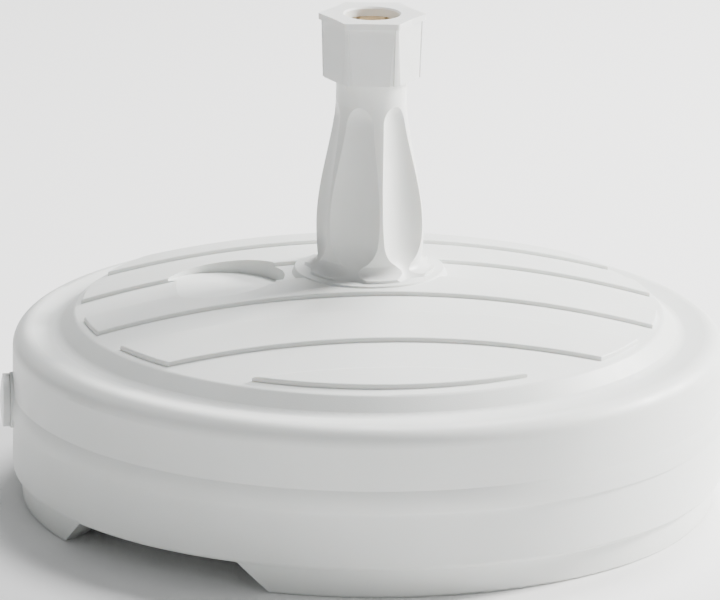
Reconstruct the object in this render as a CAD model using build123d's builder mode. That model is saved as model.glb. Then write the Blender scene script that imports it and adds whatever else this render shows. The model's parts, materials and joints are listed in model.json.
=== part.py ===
from build123d import *
import os
from math import cos, radians, sin, sqrt

os.makedirs("parts", exist_ok=True)

# A round parasol base that is filled with water or sand. Millimetres. Z = 0 is the floor,
# the pole's axis is X = Y = 0, the front looks along -Y and the filler cap is at -X.

# Tank: one blow-moulded hollow shell
shell = 3.0                  # wall thickness
bead_radius = 250.0          # parting-line bead round the wall, the widest place
wall_radius = 248.2
wall_bottom = 21.0           # underside of the drum, above the feet
bead_bottom = 61.0
bead_crest = 67.5
bead_top = 77.0
shoulder_height = 120.6      # where the wall and the shoulder would meet uncut
shoulder_round = 13.0
trough_radius = 217.0        # foot of the domed disc
trough_height = 118.9
trough_round = 8.0
disc_radius = 205.6          # edge of the domed disc
disc_round = 4.5
dome_apex = 161.2            # top of the dome's sphere, on the pole's axis
dome_sphere = 718.0
plinth_radius = 52.0         # low round seat under the neck
plinth_top = 163.5
plinth_foot = 54.0
sleeve_radius = 22.0         # hole right through the tank for the centre tube

# Raised bands across the dome, the same in front of the pole and behind it
band_lift = 3.0
inner_band = (21.8, 58.5)    # nearer and further edge, from the X axis
outer_band = (92.8, 135.7)
lens_chord = 174.5           # straight edge of the lens-shaped pad at the front
lens_radius = 197.8
band_end_radius = 200.6
band_edge_round = 1.3

# Round flat seat let into the dome beside the neck
seat_x = -102.0
seat_floor = 148.5
seat_radius = 43.0
seat_cut_top = 166.0

# Foot ring with two hand gaps
foot_outer_top = 243.4
foot_outer_floor = 241.4
foot_inner_top = 216.0
foot_inner_floor = 218.5
foot_edge_round = 2.5
gap_direction = 228.0        # degrees from +X; the second gap is opposite
gap_half_top = 67.0
gap_half_floor = 93.0

# Filler neck and cap at -X, on the bead
filler_height = 70.0
boss_radius = 19.5
boss_face = 250.3            # distance from the pole's axis
filler_outer = 15.2
filler_bore = 12.0
filler_end = 253.2
seal_outer = 15.0
seal_thickness = 1.0
cap_radius = 18.6
cap_edge = 255.2             # where the cap's domed face starts
cap_face = 257.2
cap_gap = 0.3

# Neck, centre tube and what holds them
pole_bore = 18.75
tube_wall = 2.5
tube_bottom = 10.0
tube_top = 230.0
neck_foot_radius = 45.3
neck_foot_height = 2.0
neck_foot_margin = 2.0
neck_profile = ((36.0, 172.5), (38.6, 190.0), (30.1, 249.0), (24.6, 281.0))
neck_fit = 0.05              # radial clearance of the centre tube in the neck
neck_top = 324.0
thread_bottom = 303.0
thread_crest = 26.6
collar_radius = 24.5
collar_bottom = 281.0
flute_count = 6
first_ridge = -82.8          # degrees from +X of a ridge between two flutes
flute_low = (66.0, 190.0)    # lower ball of a flute's cutter, distance from the axis and height
flute_low_radius = 36.0
flute_high = (43.7, 272.0)   # upper ball
flute_high_radius = 22.0
seat_cone_top = 24.2
seat_cone_bottom = 20.6
seat_cone_depth = 18.0

# Lock nut under the tank
lock_radius = 37.0
lock_bottom = 4.0
lock_top = 19.0
lock_lip_radius = 15.0
lock_bore = 21.45
lock_notch_count = 8
lock_notch_radius = 4.0
stop_radius = 21.2
stop_thickness = 3.0
drain_radius = 3.0
drain_circle = 9.0
washer_radius = 44.0

# Clamping nut and collet
nut_bottom = 299.7
nut_flange = 340.2
nut_top = 344.4
nut_corner_bottom = 32.8
nut_corner_top = 34.1
nut_facet = 30.3
nut_rib_width = 2.6
nut_rib_lift = 0.9
nut_flange_corner = 37.4
nut_flange_waist = 31.5
nut_thread_bore = 27.2
nut_head_bore = 24.9
nut_hole = 18.9
nut_hole_chamfer = 1.2
nut_thread_top = 326.5
nut_head_top = 338.0
nut_lobe_round = 2.5
first_rib = -64.8            # degrees from +X of one of the six ribs
collet_bore = 19.4
collet_bottom = 307.0
collet_top = 337.6
collet_head = 24.5
collet_head_bottom = 326.9
collet_slot = 2.4
collet_slot_bottom = 312.0
collet_gap = 0.3             # radial gap to the neck's seat when the collet is let go


def dome_z(radius, lift=0.0):
    """Height of the dome, raised by lift, at a distance from the pole's axis."""
    return dome_apex + lift - dome_sphere + sqrt(dome_sphere**2 - radius**2)


def at_angle(radius, degrees, height=0.0):
    """Point at a distance and a direction from the pole's axis."""
    return (radius * cos(radians(degrees)), radius * sin(radians(degrees)), height)


def corner(section, across, up):
    """The corner of a section that is nearest to a point."""
    return section.vertices().sort_by_distance((across, up, 0))[0]


# ---------------------------------------------------------------- tank
with BuildPart() as drum:
    with BuildSketch(Plane.XZ) as drum_section:
        with BuildLine():
            Polyline(
                (sleeve_radius, wall_bottom),
                (wall_radius, wall_bottom),
                (wall_radius, bead_bottom),
                (bead_radius - 0.4, bead_bottom + 0.5),
            )
            ThreePointArc(
                (bead_radius - 0.4, bead_bottom + 0.5),
                (bead_radius, bead_crest),
                (wall_radius, bead_top),
            )
            Polyline(
                (wall_radius, bead_top),
                (wall_radius, shoulder_height),
                (trough_radius, trough_height),
                (disc_radius, dome_z(disc_radius)),
            )
            ThreePointArc(
                (disc_radius, dome_z(disc_radius)),
                (disc_radius / 2, dome_z(disc_radius / 2)),
                (plinth_foot, dome_z(plinth_foot)),
            )
            Polyline(
                (plinth_foot, dome_z(plinth_foot)),
                (plinth_radius, plinth_top),
                (sleeve_radius, plinth_top),
                (sleeve_radius, wall_bottom),
            )
        make_face()
        fillet(corner(drum_section, wall_radius, shoulder_height), radius=shoulder_round)
        fillet(corner(drum_section, trough_radius, trough_height), radius=trough_round)
        fillet(corner(drum_section, disc_radius, dome_z(disc_radius)), radius=disc_round)
        fillet(corner(drum_section, wall_radius, wall_bottom), radius=shell)
        fillet(corner(drum_section, plinth_radius, plinth_top), radius=1.0)
    revolve(axis=Axis.Z)

with BuildPart() as bands:
    with BuildSketch(Plane.XY.offset(trough_height)) as band_plan:
        for side in (-1, 1):
            for near, far in (inner_band, outer_band):
                with Locations((0, side * (near + far) / 2)):
                    Rectangle(2 * bead_radius, far - near)
        Circle(band_end_radius, mode=Mode.INTERSECT)
        with BuildSketch() as lens:
            Circle(lens_radius)
            with Locations((0, -lens_chord)):
                Rectangle(
                    2 * bead_radius, bead_radius,
                    align=(Align.CENTER, Align.MAX), mode=Mode.INTERSECT,
                )
    extrude(amount=dome_apex + band_lift - trough_height)
    with Locations((0, 0, dome_apex + band_lift - dome_sphere)):
        Sphere(dome_sphere, mode=Mode.INTERSECT)
    band_tops = bands.faces().filter_by(GeomType.SPHERE)
    fillet(band_tops.edges(), radius=band_edge_round)
    # the neck's foot stands on the plinth between the inner bands' ends
    Cylinder(neck_foot_radius + neck_foot_margin, 4 * dome_apex, mode=Mode.SUBTRACT)


def hand_gap(direction, margin):
    """Solid that cuts a hand gap through the foot ring, wider all round by margin."""
    across = at_angle(1, direction + 90)
    with BuildPart() as gap:
        with BuildSketch(Plane(origin=(0, 0, 0), x_dir=across, z_dir=at_angle(1, direction))):
            with BuildLine():
                Polyline(
                    (-gap_half_top - margin, wall_bottom + 2 * shell),
                    (gap_half_top + margin, wall_bottom + 2 * shell),
                    (gap_half_top + margin, wall_bottom),
                    (gap_half_floor + margin, -shell),
                    (-gap_half_floor - margin, -shell),
                    (-gap_half_top - margin, wall_bottom),
                    close=True,
                )
            make_face()
        extrude(amount=bead_radius)
    return gap.part


with BuildPart() as feet:
    with BuildSketch(Plane.XZ) as foot_section:
        with BuildLine():
            Polyline(
                (foot_inner_floor, 0),
                (foot_outer_floor, 0),
                (foot_outer_top, wall_bottom + 1),
                (foot_inner_top, wall_bottom + 1),
                close=True,
            )
        make_face()
        fillet(corner(foot_section, foot_inner_floor, 0), radius=foot_edge_round)
        fillet(corner(foot_section, foot_outer_floor, 0), radius=foot_edge_round)
    revolve(axis=Axis.Z)
    for turn in (0, 180):
        add(hand_gap(gap_direction + turn, 0), mode=Mode.SUBTRACT)

with BuildPart() as foot_hollow:
    with BuildSketch(Plane.XZ) as foot_hollow_section:
        with BuildLine():
            Polyline(
                (foot_inner_floor + shell, shell),
                (foot_outer_floor - shell, shell),
                (foot_outer_top - shell, wall_bottom + shell + 1),
                (foot_inner_top + shell, wall_bottom + shell + 1),
                close=True,
            )
        make_face()
    revolve(axis=Axis.Z)
    for turn in (0, 180):
        add(hand_gap(gap_direction + turn, 2 * shell), mode=Mode.SUBTRACT)


with BuildPart() as cavity:
    with BuildSketch(Plane.XZ):
        add(drum_section.sketch_local)
        offset(amount=-shell, mode=Mode.REPLACE)
    revolve(axis=Axis.Z)
    # the seat's floor and wall keep their thickness
    with Locations((seat_x, 0, seat_floor - shell)):
        Cylinder(
            seat_radius + shell,
            seat_cut_top - seat_floor + shell,
            align=(Align.CENTER, Align.CENTER, Align.MIN),
            mode=Mode.SUBTRACT,
        )
    add(foot_hollow.part)

with BuildPart() as tank:
    add(drum.part)
    add(feet.part)
    add(bands.part)
    with Locations((seat_x, 0, seat_floor)):
        Cylinder(
            seat_radius,
            seat_cut_top - seat_floor,
            align=(Align.CENTER, Align.CENTER, Align.MIN),
            mode=Mode.SUBTRACT,
        )
    add(cavity.part, mode=Mode.SUBTRACT)
    # filler boss, neck and mouth
    with BuildSketch(Plane.YZ.offset(-boss_face)):
        with Locations((0, filler_height)):
            Circle(boss_radius)
    extrude(amount=boss_face - wall_radius + 2 * shell)
    with BuildSketch(Plane.YZ.offset(-filler_end)):
        with Locations((0, filler_height)):
            Circle(filler_outer)
    extrude(amount=filler_end - wall_radius + 2 * shell)
    with BuildSketch(Plane.YZ.offset(-filler_end)):
        with Locations((0, filler_height)):
            Circle(filler_bore)
    extrude(amount=filler_end - wall_radius + 3 * shell, mode=Mode.SUBTRACT)
tank.part.label = "tank"
export_step(tank.part, "parts/tank.step")

# ---------------------------------------------------------------- neck
seat_cone_floor = neck_top - seat_cone_depth


def flute_cutter(direction):
    """Tapered bar with ball ends that cuts one flute down the neck's side."""
    inward = flute_low[0] - flute_high[0]
    rise = flute_high[1] - flute_low[1]
    length = sqrt(inward**2 + rise**2)
    lean = (flute_low_radius - flute_high_radius) / length
    upright = sqrt(1 - lean**2)
    start = at_angle(flute_low[0], direction, flute_low[1])
    facing = at_angle(rise / length, direction, inward / length)
    with BuildPart() as bar:
        with BuildSketch(Plane(origin=start, x_dir=at_angle(1, direction + 90), z_dir=facing)):
            with BuildLine():
                ThreePointArc(
                    (0, -flute_low_radius),
                    (flute_low_radius * upright, -flute_low_radius * lean),
                    (flute_low_radius * upright, flute_low_radius * lean),
                )
                Polyline(
                    (flute_low_radius * upright, flute_low_radius * lean),
                    (flute_high_radius * upright, length + flute_high_radius * lean),
                )
                ThreePointArc(
                    (flute_high_radius * upright, length + flute_high_radius * lean),
                    (flute_high_radius * 0.6, length + flute_high_radius * 0.8),
                    (0, length + flute_high_radius),
                )
                Polyline((0, length + flute_high_radius), (0, -flute_low_radius))
            make_face()
        revolve(axis=Axis(start, at_angle(-inward / length, direction, rise / length)))
    return bar.part


with BuildPart() as neck:
    with BuildSketch(Plane.XZ):
        with BuildLine():
            Polyline(
                (pole_bore + tube_wall + neck_fit, plinth_top),
                (neck_foot_radius, plinth_top),
                (neck_foot_radius, plinth_top + neck_foot_height),
            )
            ThreePointArc(
                (neck_foot_radius, plinth_top + neck_foot_height),
                (38.6, plinth_top + 3.8),
                neck_profile[0],
            )
            Spline(*neck_profile)
            Polyline(
                neck_profile[-1],
                (collar_radius, collar_bottom + 1),
                (collar_radius, thread_bottom),
                (thread_crest, thread_bottom + 1.5),
                (thread_crest, neck_top - 1),
                (thread_crest - 1, neck_top),
                (seat_cone_top, neck_top),
                (seat_cone_bottom, seat_cone_floor),
                (pole_bore, seat_cone_floor),
                (pole_bore, tube_top),
                (pole_bore + tube_wall + neck_fit, tube_top),
                (pole_bore + tube_wall + neck_fit, plinth_top),
            )
        make_face()
    revolve(axis=Axis.Z)
    for step in range(flute_count):
        turn = first_ridge + (step + 0.5) * 360 / flute_count
        add(flute_cutter(turn), mode=Mode.SUBTRACT)
neck.part.label = "neck"
export_step(neck.part, "parts/neck.step")

# ---------------------------------------------------------------- centre tube and pole stop
with BuildPart() as centre_tube:
    with BuildSketch(Plane.XY.offset(tube_bottom)):
        Circle(pole_bore + tube_wall)
        Circle(pole_bore, mode=Mode.SUBTRACT)
    extrude(amount=tube_top - tube_bottom)
centre_tube.part.label = "centre_tube"
export_step(centre_tube.part, "parts/centre_tube.step")

with BuildPart() as pole_stop:
    with BuildSketch(Plane.XY.offset(tube_bottom - stop_thickness)):
        Circle(stop_radius)
        with PolarLocations(drain_circle, 4):
            Circle(drain_radius, mode=Mode.SUBTRACT)
    extrude(amount=stop_thickness)
pole_stop.part.label = "pole_stop"
export_step(pole_stop.part, "parts/pole_stop.step")

# ---------------------------------------------------------------- lock nut and washer
with BuildPart() as lock_nut:
    with BuildSketch(Plane.XY.offset(lock_bottom)):
        Circle(lock_radius)
        with PolarLocations(lock_radius, lock_notch_count):
            Circle(lock_notch_radius, mode=Mode.SUBTRACT)
        Circle(lock_lip_radius, mode=Mode.SUBTRACT)
    extrude(amount=lock_top - lock_bottom)
    with BuildSketch(Plane.XY.offset(tube_bottom - stop_thickness)):
        Circle(lock_bore)
    extrude(amount=lock_top - tube_bottom + stop_thickness, mode=Mode.SUBTRACT)
lock_nut.part.label = "lock_nut"
export_step(lock_nut.part, "parts/lock_nut.step")

with BuildPart() as lock_washer:
    with BuildSketch(Plane.XY.offset(lock_top)):
        Circle(washer_radius)
        Circle(sleeve_radius, mode=Mode.SUBTRACT)
    extrude(amount=wall_bottom - lock_top)
lock_washer.part.label = "lock_washer"
export_step(lock_washer.part, "parts/lock_washer.step")

# ---------------------------------------------------------------- clamping nut
with BuildPart() as nut_body:
    with BuildSketch(Plane.XY.offset(nut_bottom)):
        RegularPolygon(nut_facet, 6, major_radius=False, rotation=first_rib)
    extrude(amount=nut_flange - nut_bottom)
    with Locations((0, 0, nut_bottom)):
        Cone(
            nut_corner_bottom,
            nut_corner_top,
            nut_flange - nut_bottom,
            align=(Align.CENTER, Align.CENTER, Align.MIN),
            mode=Mode.INTERSECT,
        )

with BuildPart() as nut_ribs:
    with BuildSketch(Plane.XY.offset(nut_bottom)):
        with PolarLocations(nut_corner_top - 1, 6, start_angle=first_rib):
            Rectangle(6, nut_rib_width)
    extrude(amount=nut_flange - nut_bottom)
    with Locations((0, 0, nut_bottom)):
        Cone(
            nut_corner_bottom + nut_rib_lift,
            nut_corner_top + nut_rib_lift,
            nut_flange - nut_bottom,
            align=(Align.CENTER, Align.CENTER, Align.MIN),
            mode=Mode.INTERSECT,
        )

with BuildPart() as clamping_nut:
    add(nut_body.part)
    add(nut_ribs.part)
    with BuildSketch(Plane.XY.offset(nut_flange)) as flange_plan:
        with BuildLine():
            rim = []
            for step in range(6):
                turn = first_rib + 60 * step
                rim.append(at_angle(nut_flange_corner, turn)[:2])
                rim.append(at_angle(nut_flange_waist, turn + 30)[:2])
            Polyline(*rim, close=True)
        make_face()
        lobes = flange_plan.vertices().sort_by(lambda point: point.X**2 + point.Y**2)[-6:]
        fillet(lobes, radius=nut_lobe_round)
    extrude(amount=nut_top - nut_flange)
    with BuildSketch(Plane.XZ):
        with BuildLine():
            Polyline(
                (0, nut_bottom - 1),
                (nut_thread_bore, nut_bottom - 1),
                (nut_thread_bore, nut_thread_top),
                (nut_head_bore, nut_thread_top),
                (nut_head_bore, nut_head_top),
                (nut_hole, nut_head_top),
                (nut_hole, nut_top - nut_hole_chamfer),
                (nut_hole + nut_hole_chamfer + 1, nut_top + 1),
                (0, nut_top + 1),
                close=True,
            )
        make_face()
    revolve(axis=Axis.Z, mode=Mode.SUBTRACT)
clamping_nut.part.label = "clamping_nut"
export_step(clamping_nut.part, "parts/clamping_nut.step")

# ---------------------------------------------------------------- collet
seat_slope = (seat_cone_top - seat_cone_bottom) / seat_cone_depth
collet_foot = seat_cone_bottom + seat_slope * (collet_bottom - seat_cone_floor) - collet_gap
with BuildPart() as collet:
    with BuildSketch(Plane.XZ):
        with BuildLine():
            Polyline(
                (collet_bore, collet_bottom),
                (collet_foot, collet_bottom),
                (seat_cone_top - collet_gap, neck_top),
                (seat_cone_top - collet_gap, collet_head_bottom),
                (collet_head, collet_head_bottom),
                (collet_head, collet_top),
                (collet_bore, collet_top),
                close=True,
            )
        make_face()
    revolve(axis=Axis.Z)
    with BuildSketch(Plane.XY.offset(collet_slot_bottom)):
        with PolarLocations(collet_head, 6, start_angle=first_rib):
            Rectangle(2 * collet_head - collet_bore, collet_slot)
    extrude(amount=neck_top, mode=Mode.SUBTRACT)
collet.part.label = "collet"
export_step(collet.part, "parts/collet.step")

# ---------------------------------------------------------------- filler seal and cap
seal_face = filler_end + cap_gap
cap_rise = cap_face - cap_edge
cap_crown = (cap_radius**2 + cap_rise**2) / (2 * cap_rise)
with BuildPart() as filler_seal:
    with BuildSketch(Plane.YZ.offset(-seal_face - seal_thickness)):
        with Locations((0, filler_height)):
            Circle(seal_outer)
            Circle(filler_bore, mode=Mode.SUBTRACT)
    extrude(amount=seal_thickness)
filler_seal.part.label = "filler_seal"
export_step(filler_seal.part, "parts/filler_seal.step")

with BuildPart() as filler_cap:
    with BuildSketch(Plane.XZ):
        with BuildLine():
            Polyline(
                (-cap_face, filler_height),
                (-seal_face - seal_thickness - cap_gap, filler_height),
                (-seal_face - seal_thickness - cap_gap, filler_height + filler_outer + cap_gap),
                (-boss_face - cap_gap, filler_height + filler_outer + cap_gap),
                (-boss_face - cap_gap, filler_height + cap_radius),
                (-cap_edge, filler_height + cap_radius),
            )
            ThreePointArc(
                (-cap_edge, filler_height + cap_radius),
                (-cap_face + cap_crown - sqrt(cap_crown**2 - (cap_radius / 2)**2),
                 filler_height + cap_radius / 2),
                (-cap_face, filler_height),
            )
        make_face()
    revolve(axis=Axis((0, 0, filler_height), (1, 0, 0)))
filler_cap.part.label = "filler_cap"
export_step(filler_cap.part, "parts/filler_cap.step")
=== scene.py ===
"""Studio scene of a round parasol base.

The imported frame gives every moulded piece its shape. This script gives each of them its finish,
winds the thread under the clamping nut, and sets up the lamps, the floor and the camera.
"""

import json
import logging
import math
from dataclasses import dataclass, field
from enum import Enum

import bpy
import numpy as np
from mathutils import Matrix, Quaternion, Vector


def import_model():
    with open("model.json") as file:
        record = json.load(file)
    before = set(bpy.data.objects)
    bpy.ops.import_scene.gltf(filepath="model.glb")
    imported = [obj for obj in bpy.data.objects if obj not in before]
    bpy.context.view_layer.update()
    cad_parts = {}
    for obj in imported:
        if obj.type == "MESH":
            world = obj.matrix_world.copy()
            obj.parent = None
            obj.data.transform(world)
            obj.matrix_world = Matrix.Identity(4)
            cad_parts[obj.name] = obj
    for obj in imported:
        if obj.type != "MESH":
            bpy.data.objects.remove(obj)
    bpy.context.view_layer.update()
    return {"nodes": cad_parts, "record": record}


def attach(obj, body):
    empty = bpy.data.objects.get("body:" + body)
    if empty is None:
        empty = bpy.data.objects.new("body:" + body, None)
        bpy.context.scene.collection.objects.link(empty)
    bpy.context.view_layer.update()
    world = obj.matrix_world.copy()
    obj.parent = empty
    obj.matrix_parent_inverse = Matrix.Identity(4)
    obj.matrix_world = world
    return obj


logging.basicConfig(level=logging.INFO, format="%(message)s")
log = logging.getLogger("parasol_base")

Colour = tuple[float, float, float]
Point = tuple[float, float, float]
MM = 0.001
FULL_TURN = 2.0 * math.pi


class Slot(Enum):
    """The record's material slots."""

    TANK = "tank_plastic"
    NECK = "neck_plastic"
    NUT = "nut_plastic"
    COLLET = "collet_plastic"
    SEAL = "seal_rubber"
    LOCK = "lock_plastic"


class Body(Enum):
    """The frame's rigid bodies that new pieces ride on."""

    BASE = "base"


@dataclass(frozen=True)
class MouldedFinish:
    """A moulded plastic or rubber surface with mottled colour, uneven gloss and a fine grain.

    Attributes:
        name: Name of the material.
        pale: Linear colour of the cleaner patches.
        dull: Linear colour of the slightly greyer patches.
        roughness: Middle value of the surface's roughness.
        roughness_spread: How far the roughness swings either side of it.
        mottle_size: Size in metres of the soft patches.
        grain_size: Size in metres of the moulded grain.
        grain_depth: Depth in metres of the grain.
        smooth_below: Height in metres under which the grain fades away.
        soil: Colour of the dust that gathers near the ground.
        soil_height: Height in metres that the dust reaches.
        soil_amount: Strongest share of the dust's colour.
        glow: Share of light that scatters inside the wall.
        specular: Strength of the shine seen head-on.
        scatter: How far red, green and blue light travel inside the wall, relative to its scale.
        scatter_scale: Scale in metres of that travel.
        fade_height: Height in metres over which the grain fades, either side of smooth_below.
        smooth_grain: Share of the grain that is left below the fade.
    """

    name: str
    pale: Colour
    dull: Colour
    roughness: float = 0.4
    roughness_spread: float = 0.05
    mottle_size: float = 0.09
    grain_size: float = 0.0009
    grain_depth: float = 0.00004
    smooth_below: float = -1.0
    soil: Colour = (0.5, 0.46, 0.38)
    soil_height: float = 0.03
    soil_amount: float = 0.12
    glow: float = 0.12
    specular: float = 0.45
    scatter: Colour = (1.0, 0.75, 0.55)
    scatter_scale: float = 0.006
    fade_height: float = 0.004
    smooth_grain: float = 0.25

    def material(self) -> bpy.types.Material:
        """Builds the node tree of the finish.

        Returns:
            The finished material.
        """
        made = bpy.data.materials.new(self.name)
        made.use_nodes = True
        tree = made.node_tree
        shader = tree.nodes["Principled BSDF"]
        place = tree.nodes.new("ShaderNodeTexCoord").outputs["Object"]
        patches = self._noise(tree, place, self.mottle_size, 4.0)
        tint = self._mix(tree, patches, self.dull, self.pale)
        tree.links.new(self._dusted(tree, place, tint), shader.inputs["Base Color"])
        streaks = self._noise(tree, place, self.mottle_size / 5, 3.0)
        gloss = self._range(
            tree, streaks, (0.3, 0.7),
            (self.roughness - self.roughness_spread, self.roughness + self.roughness_spread),
        )
        tree.links.new(gloss, shader.inputs["Roughness"])
        tree.links.new(self._grain(tree, place), shader.inputs["Normal"])
        shader.inputs["Subsurface Weight"].default_value = self.glow
        shader.inputs["Subsurface Radius"].default_value = self.scatter
        shader.inputs["Subsurface Scale"].default_value = self.scatter_scale
        shader.inputs["Specular IOR Level"].default_value = self.specular
        return made

    def _noise(
        self, tree: bpy.types.NodeTree, place: bpy.types.NodeSocket, size: float, detail: float
    ) -> bpy.types.NodeSocket:
        """Adds a cloudy noise.

        Args:
            tree: Node tree of the material.
            place: Socket with the position on the piece.
            size: Size in metres of one cloud.
            detail: Number of finer layers.

        Returns:
            The noise's value socket.
        """
        noise = tree.nodes.new("ShaderNodeTexNoise")
        noise.inputs["Scale"].default_value = 1.0 / size
        noise.inputs["Detail"].default_value = detail
        tree.links.new(place, noise.inputs["Vector"])
        return noise.outputs["Fac"]

    def _mix(
        self, tree: bpy.types.NodeTree, share: bpy.types.NodeSocket, low: Colour, high: Colour
    ) -> bpy.types.NodeSocket:
        """Adds a soft ramp between two colours.

        Args:
            tree: Node tree of the material.
            share: Socket that chooses between the colours.
            low: Colour where the share is small.
            high: Colour where the share is large.

        Returns:
            The ramp's colour socket.
        """
        ramp = tree.nodes.new("ShaderNodeValToRGB")
        ramp.color_ramp.elements[0].position = 0.35
        ramp.color_ramp.elements[0].color = (*low, 1.0)
        ramp.color_ramp.elements[1].position = 0.65
        ramp.color_ramp.elements[1].color = (*high, 1.0)
        tree.links.new(share, ramp.inputs["Fac"])
        return ramp.outputs["Color"]

    def _range(
        self,
        tree: bpy.types.NodeTree,
        value: bpy.types.NodeSocket,
        taken: tuple[float, float],
        given: tuple[float, float],
    ) -> bpy.types.NodeSocket:
        """Adds a straight change from one clamped range of values to another.

        Args:
            tree: Node tree of the material.
            value: Socket with the value to change.
            taken: Start and end of the range that is read.
            given: What the start and the end become.

        Returns:
            The changed value's socket.
        """
        change = tree.nodes.new("ShaderNodeMapRange")
        change.inputs["From Min"].default_value = taken[0]
        change.inputs["From Max"].default_value = taken[1]
        change.inputs["To Min"].default_value = given[0]
        change.inputs["To Max"].default_value = given[1]
        tree.links.new(value, change.inputs["Value"])
        return change.outputs["Result"]

    def _height(
        self, tree: bpy.types.NodeTree, place: bpy.types.NodeSocket
    ) -> bpy.types.NodeSocket:
        """Returns the socket of the height above the floor."""
        split = tree.nodes.new("ShaderNodeSeparateXYZ")
        tree.links.new(place, split.inputs["Vector"])
        return split.outputs["Z"]

    def _dusted(
        self, tree: bpy.types.NodeTree, place: bpy.types.NodeSocket, tint: bpy.types.NodeSocket
    ) -> bpy.types.NodeSocket:
        """Lays dust over the colour, more of it near the ground.

        Args:
            tree: Node tree of the material.
            place: Socket with the position on the piece.
            tint: Socket with the clean colour.

        Returns:
            Socket with the dusted colour.
        """
        height = self._height(tree, place)
        fade = self._range(tree, height, (self.soil_height, 0.0), (0.0, self.soil_amount))
        patchy = tree.nodes.new("ShaderNodeMath")
        patchy.operation = "MULTIPLY"
        tree.links.new(fade, patchy.inputs[0])
        tree.links.new(self._noise(tree, place, self.mottle_size / 3, 5.0), patchy.inputs[1])
        mix = tree.nodes.new("ShaderNodeMix")
        mix.data_type = "RGBA"
        tree.links.new(patchy.outputs["Value"], mix.inputs["Factor"])
        tree.links.new(tint, mix.inputs["A"])
        mix.inputs["B"].default_value = (*self.soil, 1.0)
        return mix.outputs["Result"]

    def _grain(
        self, tree: bpy.types.NodeTree, place: bpy.types.NodeSocket
    ) -> bpy.types.NodeSocket:
        """Adds the moulded grain, which fades out below a height.

        Args:
            tree: Node tree of the material.
            place: Socket with the position on the piece.

        Returns:
            The bumped normal's socket.
        """
        fade = self._range(
            tree, self._height(tree, place),
            (self.smooth_below - self.fade_height, self.smooth_below + self.fade_height),
            (self.smooth_grain, 1.0),
        )
        bump = tree.nodes.new("ShaderNodeBump")
        bump.inputs["Distance"].default_value = self.grain_depth
        tree.links.new(fade, bump.inputs["Strength"])
        tree.links.new(self._noise(tree, place, self.grain_size, 2.0), bump.inputs["Height"])
        return bump.outputs["Normal"]


FINISHES: dict[Slot, MouldedFinish] = {
    Slot.TANK: MouldedFinish(
        "grained white polyethylene", (0.83, 0.845, 0.825), (0.79, 0.81, 0.785),
        roughness=0.46, grain_depth=0.00009, smooth_below=0.078,
    ),
    Slot.NECK: MouldedFinish(
        "smooth white polypropylene", (0.84, 0.85, 0.83), (0.8, 0.815, 0.79),
        roughness=0.36, mottle_size=0.05, grain_depth=0.00002, soil_amount=0.0,
    ),
    Slot.NUT: MouldedFinish(
        "satin white nut plastic", (0.85, 0.86, 0.85), (0.81, 0.82, 0.8),
        roughness=0.34, mottle_size=0.03, grain_depth=0.00002, soil_amount=0.0,
    ),
    # The collet, deep in the nut's shaded hole, is given a warm cream colour.
    Slot.COLLET: MouldedFinish(
        "warm cream collet tint", (0.86, 0.72, 0.5), (0.8, 0.65, 0.44),
        roughness=0.5, mottle_size=0.015, soil_amount=0.0,
    ),
    Slot.SEAL: MouldedFinish(
        "black seal rubber", (0.022, 0.022, 0.022), (0.014, 0.014, 0.014),
        roughness=0.62, mottle_size=0.01, glow=0.0, soil_amount=0.0,
    ),
    Slot.LOCK: MouldedFinish(
        "grey-white lock plastic", (0.66, 0.67, 0.65), (0.6, 0.61, 0.59),
        roughness=0.44, mottle_size=0.02, soil_amount=0.3,
    ),
}


def smoothstep(value: np.ndarray, low: float, high: float) -> np.ndarray:
    """Rises smoothly from 0 to 1.

    With t the value's share of the way from low to high, clipped to 0 and 1, the result is three
    times t squared less twice t cubed.

    Args:
        value: Values to judge.
        low: Value where the result leaves 0.
        high: Value where the result reaches 1.

    Returns:
        An array of shares, as long as the values.
    """
    share = np.clip((value - low) / (high - low), 0.0, 1.0)
    return share * share * (3.0 - 2.0 * share)


def grid_faces(rows: int, columns: int) -> np.ndarray:
    """Quads of a grid that is closed round its columns.

    Args:
        rows: Number of rows of points.
        columns: Number of points in each closed row.

    Returns:
        An array of quads, one per row.
    """
    row, column = np.meshgrid(np.arange(rows - 1), np.arange(columns), indexing="ij")
    following = (column + 1) % columns
    corners = (row * columns + column, row * columns + following,
               (row + 1) * columns + following, (row + 1) * columns + column)
    return np.stack(corners, axis=-1).reshape(-1, 4)


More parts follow.
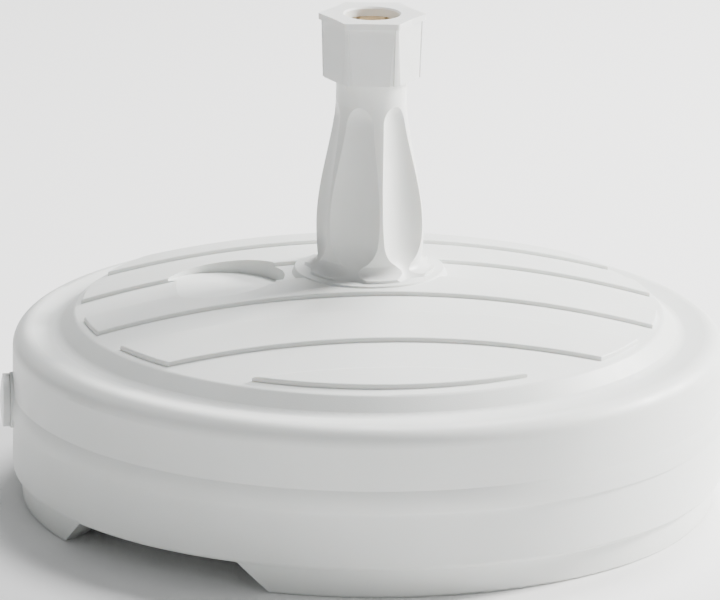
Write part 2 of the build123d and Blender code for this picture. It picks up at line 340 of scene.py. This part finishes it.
@dataclass
class ScrewThread:
    """A raised moulded thread wound round an upright spigot.

    Attributes:
        root: Radius in metres of the spigot it stands on.
        lift: Height in metres of the thread's crest over the spigot.
        pitch: Rise in metres for each turn.
        bottom: Height in metres where the thread starts.
        turns: Number of turns.
        steps_per_turn: Sections in one turn.
        sunk: Depth in metres of the thread's root under the spigot's face.
        root_share: Half the root's width as a share of the pitch.
        crest_share: Half the crest's width as a share of the pitch.
        run_in: Angle in radians over which the crest swells at each end.
    """

    root: float
    lift: float
    pitch: float
    bottom: float
    turns: float
    steps_per_turn: int = 96
    sunk: float = 0.3 * MM
    root_share: float = 0.32
    crest_share: float = 0.12
    run_in: float = math.pi / 2

    def build(self) -> bpy.types.Object:
        """Winds a trapezoid section up a helix.

        The centre of the section is at angle a and height bottom + pitch * a / full turn. Its four
        corners are two at the root, sunk into the spigot, and two at the crest. The lift swells
        from nothing and fades again over the first and last quarter turn.

        Returns:
            The thread's object.
        """
        count = int(self.turns * self.steps_per_turn) + 1
        end = self.turns * FULL_TURN
        angle = np.linspace(0.0, end, count)[:, None]
        swell = smoothstep(angle, 0.0, self.run_in) * smoothstep(end - angle, 0.0, self.run_in)
        at_crest = np.array([[0.0, 1.0, 1.0, 0.0]])
        radius = self.root - self.sunk + at_crest * (self.lift + self.sunk) * swell
        across = np.array([[-self.root_share, -self.crest_share, self.crest_share, self.root_share]])
        height = self.bottom + self.pitch * (angle / FULL_TURN + across)
        points = np.stack((radius * np.cos(angle), radius * np.sin(angle), height), axis=-1)
        faces = grid_faces(count, 4)[:, ::-1].tolist()
        last = (count - 1) * 4
        faces += [[0, 1, 2, 3], [last + 3, last + 2, last + 1, last]]
        mesh = bpy.data.meshes.new("neck_thread")
        mesh.from_pydata(points.reshape(-1, 3).tolist(), [], faces)
        mesh.shade_smooth()
        thread = bpy.data.objects.new("neck_thread", mesh)
        bpy.context.scene.collection.objects.link(thread)
        return thread


@dataclass
class MouldedBase:
    """The whole parasol base: the frame's nodes in their finishes, and the neck's thread.

    Attributes:
        node_slots: Material slot of each node.
        thread: The thread under the clamping nut.
    """

    node_slots: dict[str, Slot]
    thread: ScrewThread = field(
        default_factory=lambda: ScrewThread(26.6 * MM, 0.45 * MM, 4.0 * MM, 306.5 * MM, 3.6)
    )

    @classmethod
    def from_record(cls, record: dict) -> "MouldedBase":
        """Reads which slot each node takes.

        Args:
            record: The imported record.

        Returns:
            The base, ready to dress.
        """
        return cls({part["node"]: Slot(part["material_slot"]) for part in record["subparts"]})

    def dress(self, nodes: dict[str, bpy.types.Object]) -> None:
        """Gives every node its finish.

        Args:
            nodes: The frame's nodes by name.
        """
        materials = {slot: finish.material() for slot, finish in FINISHES.items()}
        for name, node in nodes.items():
            slot = self.node_slots[name]
            node.data.materials.clear()
            node.data.materials.append(materials[slot])
            log.info("%s: %s", name, FINISHES[slot].name)
        thread = self.thread.build()
        thread.data.materials.append(materials[Slot.NECK])
        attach(thread, Body.BASE.value)
        log.info("neck_thread: %s", FINISHES[Slot.NECK].name)


@dataclass(frozen=True)
class Lamp:
    """A square soft lamp.

    Attributes:
        name: Name of the lamp.
        place: Its place in metres.
        size: Its width in metres.
        power: Its power in watts.
        colour: Its linear colour.
    """

    name: str
    place: Point
    size: float
    power: float
    colour: Colour

    def hang(self, aim: Point) -> None:
        """Hangs the lamp so that it faces a point.

        Args:
            aim: The point it faces, in metres.
        """
        data = bpy.data.lights.new(self.name, "AREA")
        data.size = self.size
        data.energy = self.power
        data.color = self.colour
        lamp = bpy.data.objects.new(self.name, data)
        bpy.context.scene.collection.objects.link(lamp)
        lamp.location = self.place
        lamp.rotation_mode = "QUATERNION"
        lamp.rotation_quaternion = (Vector(aim) - Vector(self.place)).to_track_quat("-Z", "Y")


LAMPS: tuple[Lamp, ...] = (
    Lamp("key", (2.9, 0.9, 1.7), 0.9, 430.0, (1.0, 0.985, 0.96)),
    Lamp("front fill", (0.9, -3.6, 2.2), 2.0, 16.0, (0.97, 0.99, 1.0)),
    Lamp("overhead", (0.6, 1.0, 2.8), 1.0, 125.0, (1.0, 1.0, 1.0)),
)


@dataclass
class Studio:
    """Pale floor, soft lamps and a long lens.

    Attributes:
        eye: Place of the camera in metres.
        aim: Point the lens is centred on.
        roll: Turn of the camera about its own axis, in degrees.
        lens: Focal length in millimetres.
        sensor: Width of the camera's sensor in millimetres.
        farthest: Distance in metres beyond which nothing is drawn.
        floor_reach: Half the floor's width in metres.
        floor_colour: Linear colour of the floor.
        floor_roughness: Roughness of the floor.
        sky_colour: Linear colour of the even light.
        sky_strength: Strength of the even light.
    """

    eye: Point = (-0.401, -4.780, 1.506)
    aim: Point = (-0.0063, 0.0005, 0.139)
    roll: float = 0.6
    lens: float = 358.0
    sensor: float = 36.0
    farthest: float = 200.0
    floor_reach: float = 30.0
    floor_colour: Colour = (0.93, 0.93, 0.93)
    floor_roughness: float = 0.9
    sky_colour: Colour = (0.97, 0.985, 1.0)
    sky_strength: float = 0.27

    def build(self) -> None:
        """Sets up the camera, the lamps, the sky and the floor."""
        self._camera()
        for lamp in LAMPS:
            lamp.hang(self.aim)
            log.info("%s lamp: %g W", lamp.name, lamp.power)
        self._sky()
        self._floor()
        log.info("studio ready")

    def _camera(self) -> None:
        """Points the camera at its aim and rolls it a little."""
        data = bpy.data.cameras.new("long lens")
        data.lens = self.lens
        data.sensor_width = self.sensor
        data.clip_end = self.farthest
        camera = bpy.data.objects.new("long lens", data)
        bpy.context.scene.collection.objects.link(camera)
        camera.location = self.eye
        sight = (Vector(self.aim) - Vector(self.eye)).to_track_quat("-Z", "Y")
        turn = Quaternion((0.0, 0.0, 1.0), math.radians(self.roll))
        camera.rotation_mode = "QUATERNION"
        camera.rotation_quaternion = sight @ turn
        bpy.context.scene.camera = camera

    def _sky(self) -> None:
        """Fills the shadows with a weak even light."""
        world = bpy.data.worlds.new("pale studio")
        bpy.context.scene.world = world
        world.use_nodes = True
        sky = world.node_tree.nodes["Background"]
        sky.inputs["Color"].default_value = (*self.sky_colour, 1.0)
        sky.inputs["Strength"].default_value = self.sky_strength

    def _floor(self) -> None:
        """Lays the plain floor, which isn't part of the base."""
        reach = self.floor_reach
        mesh = bpy.data.meshes.new("floor")
        corners = [
            (-reach, -reach, 0.0), (reach, -reach, 0.0), (reach, reach, 0.0), (-reach, reach, 0.0)
        ]
        mesh.from_pydata(corners, [], [(0, 1, 2, 3)])
        floor = bpy.data.objects.new("floor", mesh)
        bpy.context.scene.collection.objects.link(floor)
        paper = bpy.data.materials.new("pale paper")
        paper.use_nodes = True
        shader = paper.node_tree.nodes["Principled BSDF"]
        shader.inputs["Base Color"].default_value = (*self.floor_colour, 1.0)
        shader.inputs["Roughness"].default_value = self.floor_roughness
        mesh.materials.append(paper)


def main() -> None:
    """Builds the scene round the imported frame."""
    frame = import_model()
    MouldedBase.from_record(frame["record"]).dress(frame["nodes"])
    Studio().build()


if __name__ == "__main__":
    main()
